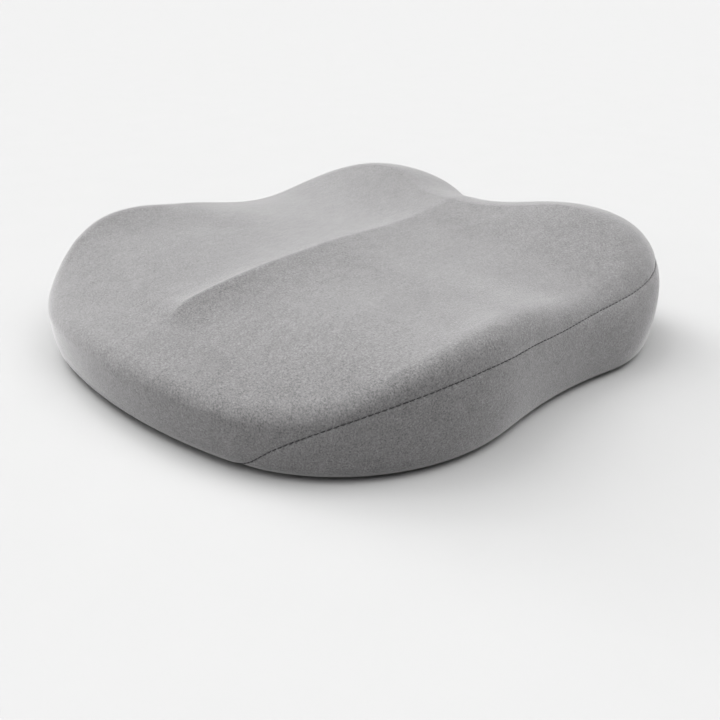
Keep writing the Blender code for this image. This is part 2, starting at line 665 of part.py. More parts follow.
def build_slider(finishes):
    """Slider: two plates joined by a post, low flanges beside the coils, and a bridge for the pull."""
    metal = finishes["metal"]
    body = prism("zip_slider", wedge_loop(SLIDER_WIDTH, SLIDER_WIDTH, SLIDER_LENGTH), BODY_Z, metal)
    through_x = around_slider((-SLIDER_LENGTH, SLIDER_LENGTH))
    track = box("track", through_x, mirrored(1, -TRACK_HALF, TRACK_HALF), (TRACK_FLOOR, TAPE_Z[0]), metal)
    combine(body, track, "DIFFERENCE")
    post_z = ((BODY_Z[0] + TRACK_FLOOR) / 2, sum(CAP_Z) / 2)
    bridge_y = mirrored(1, -BRIDGE_HALF[1], BRIDGE_HALF[1])
    bridge = box("bridge", around_slider((-BRIDGE_HALF[0], BRIDGE_HALF[0])), bridge_y, BRIDGE_Z, metal)
    wide_y = mirrored(1, -SLIDER_WIDTH, SLIDER_WIDTH)
    eye = box("eye", around_slider((-EYE_HALF, EYE_HALF)), wide_y, EYE_Z, metal)
    combine(bridge, eye, "DIFFERENCE")
    pieces = [
        prism("cap", wedge_loop(*CAP_WIDTHS, SLIDER_LENGTH - 1), CAP_Z, metal),
        box("post", around_slider(POST_X), mirrored(1, -POST_HALF, POST_HALF), post_z, metal),
        bridge,
    ]
    for piece in pieces:
        combine(body, piece, "UNION")
    move_origin(body, (SLIDER_X, ZIP_Y, PULL_Z))


def circle(x, radius, start, end, count):
    """Arc of a circle centred on the zip's middle line at x."""
    angles = np.linspace(start, end, count)
    return [(x + radius * math.cos(angle), ZIP_Y + radius * math.sin(angle)) for angle in angles]


def build_pull(finishes):
    """Pull tab: a flat tongue whose cross bar turns in the slider's bridge, with a hole at its end."""
    metal = finishes["metal"]
    tip = SLIDER_X - PULL_LENGTH + PULL_HALF
    nose = circle(tip, PULL_HALF, math.pi / 2, 3 * math.pi / 2, 9)
    neck = [(SLIDER_X - PULL_NECK[1], ZIP_Y - PULL_HALF), (SLIDER_X - PULL_NECK[0], ZIP_Y - NECK_HALF)]
    neck.append((SLIDER_X + PULL_BAR, ZIP_Y - NECK_HALF))
    neck += [(x, 2 * ZIP_Y - y) for x, y in reversed(neck)]
    thick = (PULL_Z - PULL_HALF_THICK, PULL_Z + PULL_HALF_THICK)
    tab = prism("zip_pull", nose + neck, thick, metal)
    ring_x = around_slider((-RING_END, -PULL_BAR))
    ring = box("ring", ring_x, mirrored(1, -RING_HALF, RING_HALF), CUTTER_Z, metal)
    combine(tab, ring, "DIFFERENCE")
    hole = circle(tip, PULL_HOLE_R, 0.0, 2 * math.pi, 13)[:-1]
    combine(tab, prism("hole", hole, CUTTER_Z, metal), "DIFFERENCE")
    move_origin(tab, (SLIDER_X, ZIP_Y, PULL_Z))


def move_origin(made, place):
    """Set an object's origin without moving its mesh."""
    offset = Vector(place) * MM
    made.data.transform(Matrix.Translation(-offset))
    made.location = offset


def finishes():
    return {
        "cover": material("cover_velour", (0.36, 0.355, 0.36), 0.95),
        "base": material("grip_base", (0.06, 0.06, 0.065), 0.85),
        "liner": material("liner_knit", (0.8, 0.8, 0.78), 0.9),
        "foam": material("memory_foam", (0.82, 0.79, 0.7), 0.9),
        "thread": material("sewing_thread", (0.13, 0.13, 0.135), 0.7),
        "tape": material("zip_tape", (0.1, 0.1, 0.105), 0.85),
        "coil": material("zip_coil", (0.09, 0.09, 0.095), 0.45),
        "stop": material("zip_stop", (0.09, 0.09, 0.095), 0.5),
        "metal": material("slider_metal", (0.2, 0.2, 0.21), 0.35, 1.0),
    }


def main():
    for old in list(bpy.data.objects):
        bpy.data.objects.remove(old)
    made = finishes()
    skin = Skin(column_fractions())
    build_cover(skin, made)
    build_liner_and_foam(skin, made)
    build_base(skin, made)
    build_chain(made)
    build_slider(made)
    build_pull(made)


if __name__ == "__main__":
    main()
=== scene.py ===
"""Contoured seat cushion in a velour cover, on a pale studio floor.

The shape functions repeat the CAD model's: one skin describes the outside of the cover, in millimetres,
and every piece of fabric, stitch and thread is placed on it. MM turns millimetres into metres.
"""
import math

import bmesh
import bpy
import numpy as np
from mathutils import Matrix, Vector


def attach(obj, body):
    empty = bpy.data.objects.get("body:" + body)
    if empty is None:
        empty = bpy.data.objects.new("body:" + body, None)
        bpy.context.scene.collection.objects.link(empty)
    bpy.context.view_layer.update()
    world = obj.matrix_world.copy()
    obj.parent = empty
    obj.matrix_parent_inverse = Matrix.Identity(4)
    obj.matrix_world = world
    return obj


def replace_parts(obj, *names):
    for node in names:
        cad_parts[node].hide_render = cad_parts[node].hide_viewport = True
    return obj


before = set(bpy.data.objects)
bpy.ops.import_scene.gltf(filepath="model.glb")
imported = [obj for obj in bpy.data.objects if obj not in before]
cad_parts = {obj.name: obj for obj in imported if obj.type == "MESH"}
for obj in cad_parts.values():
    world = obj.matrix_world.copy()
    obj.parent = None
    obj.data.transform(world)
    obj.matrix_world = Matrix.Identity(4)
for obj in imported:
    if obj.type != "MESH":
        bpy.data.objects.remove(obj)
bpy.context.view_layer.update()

MM = 0.001

# ---- camera --------------------------------------------------------------------------------------
CAMERA_AZIMUTH = math.radians(44.46)   # from the front towards +X
CAMERA_ELEVATION = math.radians(25.6)
CAMERA_DISTANCE = 767.0
CAMERA_TARGET_Z = 47.0
CAMERA_SLIDE = (14.07, -68.9)          # the view's middle, right of and above the target
CAMERA_LENS = 43.35
SENSOR = 36.0

# ---- outline in plan: two front lobes and two rear lobes, joined by tangent arcs ------------------
FRONT_LOBE = (70.5, -72.0, 154.0)      # centre x, centre y, radius
REAR_LOBE = (104.0, 111.0, 123.0)
FRONT_EDGE_R = 483.0                   # long convex arc across the front
WAIST_R = 442.0                        # concave arc on each side, between front and rear lobe
NOTCH_R = 71.0                         # concave arc at the middle of the rear edge
OUTLINE_BLEND = 11.0                   # how far the joints between arcs are eased, along the outline
OUTLINE_POINTS = 1440

# ---- side wall and rounded edges -----------------------------------------------------------------
BASE_ROUND = 16.0                      # radius where the wall turns under the cushion
UNDERCUT = 3.6                         # how far the wall curves in from its top to the base's rounding
STATIONS = (0.0, 0.16, 0.30, 0.42, 0.54, 0.66, 0.80, 1.0)   # 0 at the front's middle, 1 at the notch
EDGE_INSET = (11.0, 11.0, 16.0, 24.0, 26.0, 40.0, 50.0, 60.0)
EDGE_DROP = (11.0, 9.0, 15.0, 42.0, 34.0, 42.0, 32.0, 32.0)
EDGE_POWER = (2.1, 2.2, 2.2, 2.9, 2.7, 2.2, 1.4, 1.4)
RIM_RISE = (5.0, -1.2, -6.2, 5.8, 1.0, 1.0, 3.5, 0.0)
RIM_WIDTH = 112.0
RIM_POWER = 1.7

# ---- seat face -----------------------------------------------------------------------------------
SEAT_Y = (-240.0, -148.0, -28.0, 94.0, 226.0)
SPINE_Z = (45.5, 70.7, 80.7, 83.5, 109.0)
FLANK_Z = (15.0, 88.5, 79.0, 65.0, 108.0)
FLANK_X = 226.0
FLANK_POWER = 3.2
RIDGE_TIP_Y = -188.0
RIDGE_TIP_LENGTH = 26.0
RIDGE_Y = (-148.0, -60.0, 20.0, 200.0)
RIDGE_Z = (8.0, 8.0, 6.8, 1.0)
RIDGE_HALF_WIDTH = 105.0
RIDGE_POWER = (6.5, 3.4, 2.6, 2.6)     # how quickly the flanks fade, at each of RIDGE_Y
RIDGE_CREST_R = 2.0
POLE_Y = 12.0

# ---- side seam -----------------------------------------------------------------------------------
BAND_START = 0.136                     # station where the side band's point starts
SEAM_STOPS = (BAND_START, 0.1425, 0.1625, 0.18, 0.21, 0.25, 0.30, 0.37, 0.43, 0.50, 0.56, 0.65, 0.72, 1.0)
# Length up the wall from the base seam, at each of those stations:
SEAM_LENGTH = (0.0, 6.0, 19.4, 30.8, 45.0, 58.5, 70.0, 77.7, 75.2, 71.4, 72.4, 76.2, 79.5, 79.0)
SEAM_HALF_GAP = 0.05                   # half the gap between the two panels' folded edges
GROOVE_DEPTH = 0.62
GROOVE_WIDTH = 0.62
GROOVE_POWER = 1.1                     # above 1 the groove's edges are rounder
CREASE_DEPTH = 0.85                    # wider valley that turns the two panels towards each other
CREASE_WIDTH = 5.5
SEAM_STITCH = (4.6, 1.15, 0.36)        # pitch, gap and radius of the side seam's stitches,
BASE_STITCH = (3.4, 0.6, 0.32)         # of those around the base,
END_STITCH = (3.2, 0.6, 0.3)           # of those beyond the zip's ends,
TOP_STITCH = (3.2, 0.6, 0.26)          # and of those along the zip
TOP_STITCH_HALF = (141.0, 8.2)         # half length of the rows along the zip, and their distance from it
SEAM_STITCH_SINK = (0.3, 0.6)          # their middle line below the crease, at the front and at the rear
SEAM_SINK_STATIONS = (0.35, 0.6)
TUCK_DEPTH = 1.3                       # how far the panels turn in at the base seam
TUCK_WIDTH = 2.2
TUCK_POWER = 1.3
PUCKER_DEPTH = 0.22                    # slow gathers beside the seam
PUCKER_REACH = 9.0
PUCKER_WAVE = (4.1, 17.0, 1.7)         # a gather's length over 2 pi, its drift's length, and its strength
SEAM_FADE = 9.0                        # length over which the seam's relief fades in from the band's points
COVER_THICKNESS = 1.1

# ---- underside and zip ---------------------------------------------------------------------------
DOT_SPACING = 9.0
DOT_RADIUS = 1.45
# A dot's rings: share of the radius, and distance down
DOT_LEVELS = ((1.0, 0.0), (0.94, 0.25), (0.72, 0.46), (0.38, 0.57))
DOT_SIDES = 12
DOT_SINK = 0.05                        # how far a dot starts inside the fabric
DOT_TIP_Z = 0.02
DOT_EDGE_MARGIN = 12.0
DOT_CLEAR = 3.0                        # between the dots and the zip's channel
DOT_ROWS = range(-32, 33)
DOT_STEPS = range(-30, 31)
ZIP_Y = 70.0
CHANNEL_FLAT = (164.0, 14.0)
CHANNEL_FADE = (22.0, 26.0)
COVER_CHANNEL = 6.0
SLOT = (143.0, 5.5)                    # half length and half width of the zip's slot in the base
BASE_SEAM_GAP = 0.24                   # between the base panels' folded edges beyond the zip
BASE_FABRIC_Z = 0.6                    # the base fabric stands this high on its grip dots
BASE_COLUMNS = 241
BASE_ROWS = (70, 12)                   # over most of a base panel, and crowded along its outer edge
BASE_EDGE_SHARE = 0.08
BASE_EDGE_IN = 0.4                     # the base panels' edges lie this far inside the base seam
BASE_STITCH_IN = 0.15                  # and the stitches around them this far,
BASE_STITCH_Z = 0.75                   # at this height
BASE_THICKNESS = 1.0
EDGE_TUCK = (0.9, 2.0)                 # how far the base panels' edges turn up, and within what width
SLOT_FOLD = (0.5, 1.2)                 # depth and width of the folds along the slot,
END_FOLD = (0.7, 1.6)                  # and of the fold along the seam beyond the slot's ends
SLOT_TURN = 0.6                        # height of the fabric turned up along the zip slot
CHAIN_END = 138.0
COIL_MIDDLE = (1.4, 6.85)              # from the zip's middle line, and up
COIL_HALF = (1.62, 1.12)               # a turn's half width and half height: the two rows mesh
COIL_PITCH = 1.3
COIL_WIRE = 0.3
COIL_MARGIN = 0.4                      # the coil stops this far inside the chain's ends
COIL_LEAN = 0.22                       # how far a turn's two sides are pushed upright, in pitches
COIL_STEPS = 12                        # points for each turn of the coil
BARTACK_X = 146.0
BARTACK_HALF = (1.4, 6.2)
BARTACK_Z = 5.75
BARTACK_RISE = 0.28
BARTACK_STRANDS = 15
BARTACK_THREAD = 0.17
END_SEAM_X = 148.5                     # where the stitching beyond the zip's ends starts
ROUNDING = {"stop": 0.25, "slider": 0.22, "pull": 0.28}

# ---- studio lights: azimuth from the front towards +X, elevation, strength, angle across ----------
LIGHTS = (
    ("overhead", 0.0, 85.0, 1.2, 40.0),
    ("left_overhead", 270.0, 60.0, 1.3, 34.0),
    ("left_panel", 270.0, 35.0, 1.25, 34.0),
    ("left_strip", 270.0, 12.0, 1.0, 34.0),
    ("near_left_strip", 315.0, 12.0, 0.85, 34.0),
    ("near_left_overhead", 315.0, 60.0, 0.62, 34.0),
    ("rear_panel", 135.0, 35.0, 0.31, 34.0),
    ("rear_overhead", 135.0, 60.0, 1.09, 34.0),
    ("right_overhead", 90.0, 60.0, 0.61, 34.0),
    ("near_overhead", 45.0, 60.0, 0.6, 34.0),
)
# Pale wall around the studio: its brightness, and the elevations where it starts and ends fading
WALL_GLOW = 0.88
WALL_TOP = 9.0
WALL_END = 14.0
FLOOR_REACH = 40.0                     # metres from the middle to the floor's edge
FLOOR_TONE = (0.448, 0.452)


# ---- fineness of the cover's meshes --------------------------------------------------------------
COLUMNS_FRONT = 49                     # fine sections from the front's middle to the band's point
COLUMNS_BAND = 311                     # and from there to the rear notch
NEAR_SEAM = (0.2, 0.4, 0.65, 1.0, 1.5, 2.2, 3.2, 4.6, 6.6, 9.2)   # rings beside the seam, from it
EDGE_RINGS = 52                        # from there over the rounded edge
SEAT_RINGS = 84                        # and on to the seat's middle
BAND_RINGS = 40                        # down the side band
BAND_NARROW = 14.0                     # where the band is lower than this, its rings crowd together


# ---- outline -------------------------------------------------------------------------------------
def arc(centre, radius, start, end, count):
    angle = np.linspace(start, end, count)
    return np.column_stack([centre[0] + radius * np.cos(angle), centre[1] + radius * np.sin(angle)])


def angle_to(source, target):
    return math.atan2(target[1] - source[1], target[0] - source[0])


def waist_centre():
    """Centre of the concave arc that touches the front and the rear lobe from outside."""
    front = np.array(FRONT_LOBE[:2])
    rear = np.array(REAR_LOBE[:2])
    span = np.linalg.norm(rear - front)
    to_front = FRONT_LOBE[2] + WAIST_R
    to_rear = REAR_LOBE[2] + WAIST_R
    along = (to_front ** 2 - to_rear ** 2 + span ** 2) / (2 * span)
    across = math.sqrt(to_front ** 2 - along ** 2)
    unit = (rear - front) / span
    outward = np.array([unit[1], -unit[0]])
    return front + unit * along + outward * across


def half_outline():
    """Right half of the outline, from the middle of the front to the rear notch."""
    front = np.array(FRONT_LOBE[:2])
    rear = np.array(REAR_LOBE[:2])
    edge = np.array([0.0, front[1] + math.sqrt((FRONT_EDGE_R - FRONT_LOBE[2]) ** 2 - front[0] ** 2)])
    waist = waist_centre()
    notch = np.array([0.0, rear[1] + math.sqrt((NOTCH_R + REAR_LOBE[2]) ** 2 - rear[0] ** 2)])
    corner = angle_to(edge, front)
    leave_front = angle_to(front, waist)
    leave_waist = angle_to(waist, rear)
    leave_rear = angle_to(rear, notch)
    return np.concatenate([
        arc(edge, FRONT_EDGE_R, -math.pi / 2, corner, 80),
        arc(front, FRONT_LOBE[2], corner, leave_front, 160),
        arc(waist, WAIST_R, leave_front + math.pi, leave_waist % (2 * math.pi), 80),
        arc(rear, REAR_LOBE[2], angle_to(rear, waist), leave_rear, 160),
        arc(notch, NOTCH_R, leave_rear - math.pi, -math.pi / 2, 60),
    ])


def closed_lengths(points):
    steps = np.linalg.norm(np.diff(np.vstack([points, points[:1]]), axis=0), axis=1)
    return np.concatenate([[0.0], np.cumsum(steps)])


def dense_outline():
    """Whole outline, evenly spaced and eased, with its box centred on the origin."""
    half = half_outline()
    whole = np.vstack([half, half[::-1] * [-1, 1]])
    whole = whole[np.diff(closed_lengths(whole)) > 1e-6]
    lengths = closed_lengths(whole)
    wanted = np.linspace(0, lengths[-1], OUTLINE_POINTS, endpoint=False)
    loop = np.vstack([whole, whole[:1]])
    even = np.column_stack([np.interp(wanted, lengths, loop[:, k]) for k in range(2)])
    for _ in range(round((OUTLINE_BLEND * OUTLINE_POINTS / lengths[-1]) ** 2 * 2)):
        even = even / 2 + (np.roll(even, 1, axis=0) + np.roll(even, -1, axis=0)) / 4
    even[:, 1] -= (even[:, 1].max() + even[:, 1].min()) / 2
    return even


OUTLINE = dense_outline()
PERIMETER = closed_lengths(OUTLINE)[-1]


def outline_at(fractions):
    """Points of the outline at fractions of its perimeter, 0 at the middle of the front."""
    place = np.mod(fractions, 1.0) * OUTLINE_POINTS
    low = np.floor(place).astype(int) % OUTLINE_POINTS
    share = (place - np.floor(place))[:, None]
    return OUTLINE[low] * (1 - share) + OUTLINE[(low + 1) % OUTLINE_POINTS] * share


def outward_at(fractions):
    near = 3.0 / OUTLINE_POINTS
    run = outline_at(fractions + near) - outline_at(fractions - near)
    run /= np.linalg.norm(run, axis=1, keepdims=True)
    return np.column_stack([run[:, 1], -run[:, 0]])


# ---- skin ----------------------------------------------------------------------------------------
def through(stops, values, place, flat_ends=False):
    """Smooth curve through values at stops, held at its end values outside them."""
    stops = np.asarray(stops, dtype=float)
    values = np.asarray(values, dtype=float)
    slopes = np.gradient(values, stops)
    if flat_ends:
        slopes[0] = 0.0
        slopes[-1] = 0.0
    place = np.clip(place, stops[0], stops[-1])
    k = np.clip(np.searchsorted(stops, place, side="right") - 1, 0, len(stops) - 2)
    span = stops[k + 1] - stops[k]
    u = (place - stops[k]) / span
    start = (1 + 2 * u) * (1 - u) ** 2 * values[k] + u * (1 - u) ** 2 * span * slopes[k]
    end = u ** 2 * (3 - 2 * u) * values[k + 1] - u ** 2 * (1 - u) * span * slopes[k + 1]
    return start + end


def ease(value):
    value = np.clip(value, 0.0, 1.0)
    return value * value * (3 - 2 * value)


def station_at(fractions):
    """Station from 0 at the middle of the front to 1 at the rear notch, the same on both sides."""
    return 1 - np.abs(1 - 2 * np.mod(fractions, 1.0))


def seat_height(x, y):
    """Height of the seat face, with its centre ridge and without its rim."""
    spine = through(SEAT_Y, SPINE_Z, y)
    flank = through(SEAT_Y, FLANK_Z, y)
    seat = spine + (flank - spine) * (np.abs(x) / FLANK_X) ** FLANK_POWER
    beside = np.sqrt(x ** 2 + RIDGE_CREST_R ** 2) - RIDGE_CREST_R
    slope = (1 - np.clip(beside / RIDGE_HALF_WIDTH, 0, 1)) ** through(RIDGE_Y, RIDGE_POWER, y)
    tip = ease((y - RIDGE_TIP_Y) / RIDGE_TIP_LENGTH)
    return seat + through(RIDGE_Y, RIDGE_Z, y) * tip * slope


def sections(fractions, base_rows=14, wall_rows=24, edge_rows=56, seat_rows=160):
    """Sections of the skin from the base seam up the wall and over the edge to the seat's middle."""
    plan = outline_at(fractions)
    out = outward_at(fractions)
    station = station_at(fractions)
    inset = through(STATIONS, EDGE_INSET, station, True)
    drop = through(STATIONS, EDGE_DROP, station, True)
    power = through(STATIONS, EDGE_POWER, station, True)
    rise = through(STATIONS, RIM_RISE, station, True)
    wall_top = seat_height(plan[:, 0], plan[:, 1]) - drop + rise
    tilt = np.arctan(2 * UNDERCUT / (wall_top - BASE_ROUND))
    rows = []
    for k in range(base_rows):
        turn = (math.pi / 2 - tilt) * k / base_rows
        inward = UNDERCUT + BASE_ROUND * (np.cos(tilt) - np.sin(turn))
        height = BASE_ROUND * (1 - np.cos(turn))
        rows.append(np.column_stack([plan - out * inward[:, None], height]))
    low = BASE_ROUND * (1 - np.sin(tilt))
    for k in range(wall_rows):
        share = k / wall_rows
        inward = UNDERCUT * (1 - share) ** 2
        rows.append(np.column_stack([plan - out * inward, low + (wall_top - low) * share]))
    for k in range(edge_rows + 1):
        turn = math.pi / 2 * k / edge_rows
        inward = inset * (1 - math.cos(turn) ** (2 / power))
        place = plan - out * inward[:, None]
        height = seat_height(place[:, 0], place[:, 1]) + rise - drop * (1 - math.sin(turn) ** (2 / power))
        rows.append(np.column_stack([place, height]))
    crest = rows[-1][:, :2]
    pole = np.array([0.0, POLE_Y])
    reach = np.linalg.norm(crest - pole, axis=1)
    for k in range(1, seat_rows + 1):
        share = k / seat_rows
        place = crest + (pole - crest) * share
        lip = rise * (1 - np.clip(reach * share / RIM_WIDTH, 0, 1)) ** RIM_POWER
        rows.append(np.column_stack([place, seat_height(place[:, 0], place[:, 1]) + lip]))
    return np.array(rows), base_rows + wall_rows + edge_rows


class Skin:
    """The cover's outer face, sampled along sections at the given fractions of the perimeter."""

    def __init__(self, fractions):
        self.fractions = np.asarray(fractions)
        near = 1.0 / OUTLINE_POINTS
        self.points, self.crest_row = sections(self.fractions)
        around = sections(self.fractions + near)[0] - sections(self.fractions - near)[0]
        normals = np.cross(around, np.gradient(self.points, axis=0))
        normals[-1] = (0.0, 0.0, 1.0)
        self.normals = normals / np.linalg.norm(normals, axis=2, keepdims=True)
        steps = np.linalg.norm(np.diff(self.points, axis=0), axis=2)
        self.lengths = np.vstack([np.zeros(len(self.fractions)), np.cumsum(steps, axis=0)])
        self.seam = through(SEAM_STOPS, SEAM_LENGTH, station_at(self.fractions))

    def rings(self, lengths, inward):
        """Points at lengths up each section, moved inwards; both are (rings, sections) arrays."""
        made = np.empty((*lengths.shape, 3))
        for j in range(lengths.shape[1]):
            for axis in range(3):
                point = np.interp(lengths[:, j], self.lengths[:, j], self.points[:, j, axis])
                normal = np.interp(lengths[:, j], self.lengths[:, j], self.normals[:, j, axis])
                made[:, j, axis] = point - normal * inward[:, j]
        return made


# ---- mesh helpers --------------------------------------------------------------------------------
def add_piece(name, points, faces, finish, body="cushion", smooth=True):
    """Mesh object from points in millimetres, riding on a body."""
    mesh = bpy.data.meshes.new(name)
    mesh.from_pydata((np.asarray(points) * MM).tolist(), [], faces)
    work = bmesh.new()
    work.from_mesh(mesh)
    bmesh.ops.remove_doubles(work, verts=work.verts, dist=1e-6)
    bmesh.ops.recalc_face_normals(work, faces=work.faces)
    work.to_mesh(mesh)
    work.free()
    if smooth:
        mesh.shade_smooth()
    mesh.materials.append(finish)
    made = bpy.data.objects.new(name, mesh)
    bpy.context.scene.collection.objects.link(made)
    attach(made, body)
    return made


def grid_faces(rows, columns, wrap, start=0):
    """Quads of a grid of points stored row by row."""
    last = columns if wrap else columns - 1
    faces = []
    for i in range(rows - 1):
        for j in range(last):
            k = (j + 1) % columns
            a = start + i * columns
            faces.append((a + j, a + k, a + columns + k, a + columns + j))
    return faces


def thicken(piece, thickness):
    """Give a sheet of fabric its thickness, inwards."""
    solid = piece.modifiers.new("thickness", "SOLIDIFY")
    solid.thickness = thickness * MM
    solid.offset = -1.0
    solid.use_even_offset = False


def tube(path, radius, sides=6):
    """Points and faces of a closed tube along a path of points, with capped ends."""
    path = np.asarray(path, dtype=float)
    run = np.gradient(path, axis=0)
    run /= np.linalg.norm(run, axis=1, keepdims=True)
    side = np.cross(run, np.array([0.0, 0.0, 1.0]))
    flat = np.linalg.norm(side, axis=1) < 1e-3
    side[flat] = np.cross(run[flat], np.array([0.0, 1.0, 0.0]))
    side /= np.linalg.norm(side, axis=1, keepdims=True)
    up = np.cross(side, run)
    radius = np.broadcast_to(radius, len(path))[:, None, None]
    angle = np.arange(sides) * 2 * math.pi / sides
    ring = side[:, None] * np.cos(angle)[:, None] + up[:, None] * np.sin(angle)[:, None]
    points = (path[:, None] + ring * radius).reshape(-1, 3)
    faces = grid_faces(len(path), sides, True)
    last = (len(path) - 1) * sides
    faces.append(tuple(range(sides)))
    faces.append(tuple(last + k for k in range(sides)))
    return points, faces


def merge(parts):
    """One list of points and one of faces from several."""
    points = []
    faces = []
    count = 0
    for some_points, some_faces in parts:
        points.append(some_points)
        faces += [tuple(count + k for k in face) for face in some_faces]
        count += len(some_points)
    return np.vstack(points), faces


def stitch_row(path, normals, pitch, gap, radius, rise=0.55, steps=7):
    """Separate stitches along a path: each arches over the fabric and dives into it at its ends."""
    path = np.asarray(path, dtype=float)
    lengths = np.concatenate([[0.0], np.cumsum(np.linalg.norm(np.diff(path, axis=0), axis=1))])
    parts = []
    for k in range(int(lengths[-1] / pitch)):
        start = k * pitch + gap / 2
        along = np.linspace(start, start + pitch - gap, steps)
        share = np.linspace(-1, 1, steps)
        middle = np.column_stack([np.interp(along, lengths, path[:, a]) for a in range(3)])
        out = np.column_stack([np.interp(along, lengths, normals[:, a]) for a in range(3)])
        lift = radius * rise - radius * 2.2 * share ** 4
        width = radius * (1 - 0.35 * share ** 2)
        parts.append(tube(middle + out * lift[:, None], width))
    return merge(parts)


# ---- materials -----------------------------------------------------------------------------------
class Look:
    """Builds one node material; each call adds a node and links its inputs."""

    def __init__(self, name, roughness, **fixed):
        self.material = bpy.data.materials.new(f"{name}_look")
        self.material["slot"] = name
        self.material.use_nodes = True
        self.tree = self.material.node_tree
        self.shader = self.tree.nodes["Principled BSDF"]
        self.shader.inputs["Roughness"].default_value = roughness
        for socket, value in fixed.items():
            self.shader.inputs[socket.replace("_", " ")].default_value = value
        self.place = self.add("ShaderNodeTexCoord").outputs["Object"]

    def add(self, kind, settings=None, **inputs):
        node = self.tree.nodes.new(kind)
        for key, value in (settings or {}).items():
            setattr(node, key, value)
        for key, value in inputs.items():
            self.feed(node.inputs[int(key[1:]) if key[0] == "i" and key[1:].isdigit() else
                                  key.replace("_", " ")], value)
        return node

    def feed(self, socket, value):
        if isinstance(value, bpy.types.NodeSocket):
            self.tree.links.new(value, socket)
        else:
            socket.default_value = value

    def stretched(self, scale, turn=(0.0, 0.0, 0.0)):
        node = self.add("ShaderNodeMapping", Vector=self.place, Scale=scale, Rotation=turn)
        return node.outputs["Vector"]

    def noise(self, size, detail=2.0, stretch=(1.0, 1.0, 1.0), turn=(0.0, 0.0, 0.0), rough=0.5):
        """Noise with features of about size millimetres, from 0 to 1."""
        scale = tuple(1 / (size * MM * s) for s in stretch)
        where = self.stretched(scale, turn)
        node = self.add("ShaderNodeTexNoise", Vector=where, Scale=1.0, Detail=detail, Roughness=rough)
        return node.outputs[0]

    def math(self, operation, a, b=0.0, clamp=False):
        node = self.add("ShaderNodeMath", {"operation": operation, "use_clamp": clamp}, i0=a, i1=b)
        return node.outputs[0]

    def spread(self, value, low, high, to_low=0.0, to_high=1.0):
        node = self.add("ShaderNodeMapRange", i0=value, i1=low, i2=high, i3=to_low, i4=to_high)
        return node.outputs[0]

    def ramp(self, value, stops):
        node = self.add("ShaderNodeValToRGB", Fac=value)
        ramp = node.color_ramp
        while len(ramp.elements) < len(stops):
            ramp.elements.new(0.5)
        for element, (at, colour) in zip(ramp.elements, stops):
            element.position = at
            element.color = (*colour, 1.0)
        return node.outputs["Color"]

    def mix(self, share, a, b, kind="MIX"):
        node = self.add("ShaderNodeMix", {"data_type": "RGBA", "blend_type": kind})
        self.feed(node.inputs[0], share)
        self.feed(node.inputs[6], a)
        self.feed(node.inputs[7], b)
        return node.outputs[2]

    def grey(self, value):
        """Grey colour of a value."""
        node = self.add("ShaderNodeCombineColor", Red=value, Green=value, Blue=value)
        return node.outputs[0]

    def bump(self, height, depth, normal=None):
        node = self.add("ShaderNodeBump", Height=height, Distance=depth * MM, Strength=1.0)
        if normal is not None:
            self.feed(node.inputs["Normal"], normal)
        return node.outputs["Normal"]

    def finish(self, colour, normal=None, roughness=None):
        self.feed(self.shader.inputs["Base Color"], colour)
        if normal is not None:
            self.feed(self.shader.inputs["Normal"], normal)
        if roughness is not None:
            self.feed(self.shader.inputs["Roughness"], roughness)
        return self.material


def velour():
    """Short-nap velour: pile that leans in patches and wisps, heathered fibres and a broken grain."""
    look = Look("cover_velour", 0.9, Sheen_Weight=0.7, Sheen_Roughness=0.4,
                Sheen_Tint=(1.0, 0.99, 1.0, 1.0), Specular_IOR_Level=0.12)
    lean = look.noise(30.0, 3.0, rough=0.55)
    wisps = look.noise(6.0, 3.0, stretch=(1.0, 1.9, 1.4), turn=(0.2, 0.1, 0.7), rough=0.6)
    grain = look.noise(1.5, 3.0, rough=0.7)
    fibres = look.noise(0.75, 2.0, stretch=(1.0, 2.2, 1.5), rough=0.6)
    cross = look.noise(0.8, 2.0, stretch=(2.2, 1.0, 1.5), turn=(0.3, 0.2, 0.5), rough=0.6)
    heather = look.math("ADD", look.math("MULTIPLY", fibres, 0.5), look.math("MULTIPLY", cross, 0.5))
    tone = look.spread(lean, 0.3, 0.7, -0.008, 0.008)
    tone = look.math("ADD", tone, look.spread(wisps, 0.3, 0.7, -0.014, 0.014))
    tone = look.math("ADD", tone, look.spread(grain, 0.25, 0.75, -0.03, 0.03))
    tone = look.math("ADD", tone, look.spread(heather, 0.3, 0.7, -0.085, 0.085))
    value = look.math("ADD", tone, 0.17)
    colour = look.mix(1.0, look.grey(value), (1.01, 0.995, 1.0, 1.0), "MULTIPLY")
    pile = look.bump(wisps, 0.1)
    pile = look.bump(grain, 0.12, pile)
    pile = look.bump(heather, 0.26, pile)
    return look.finish(colour, pile, look.spread(grain, 0.3, 0.7, 0.84, 0.96))


def weave(name, dark, light, pitch, depth, roughness):
    """Plain weave: two crossed sets of threads that rise in turn."""
    look = Look(name, roughness, Sheen_Weight=0.08, Sheen_Roughness=0.5, Specular_IOR_Level=0.2)
    axes = look.add("ShaderNodeSeparateXYZ", Vector=look.stretched((math.pi / (pitch * MM),) * 3))
    warp = look.math("SINE", axes.outputs[0])
    weft = look.math("SINE", axes.outputs[1])
    both = look.math("MULTIPLY", warp, weft)
    fuzz = look.noise(0.5, 2.0)
    patches = look.noise(25.0, 2.0)
    height = look.math("ADD", look.spread(both, -1.0, 1.0), look.math("MULTIPLY", fuzz, 0.5))
    tone = look.math("ADD", look.math("MULTIPLY", height, 0.6), look.math("MULTIPLY", patches, 0.3))
    colour = look.ramp(tone, [(0.15, dark), (0.95, light)])
    return look.finish(colour, look.bump(height, depth))


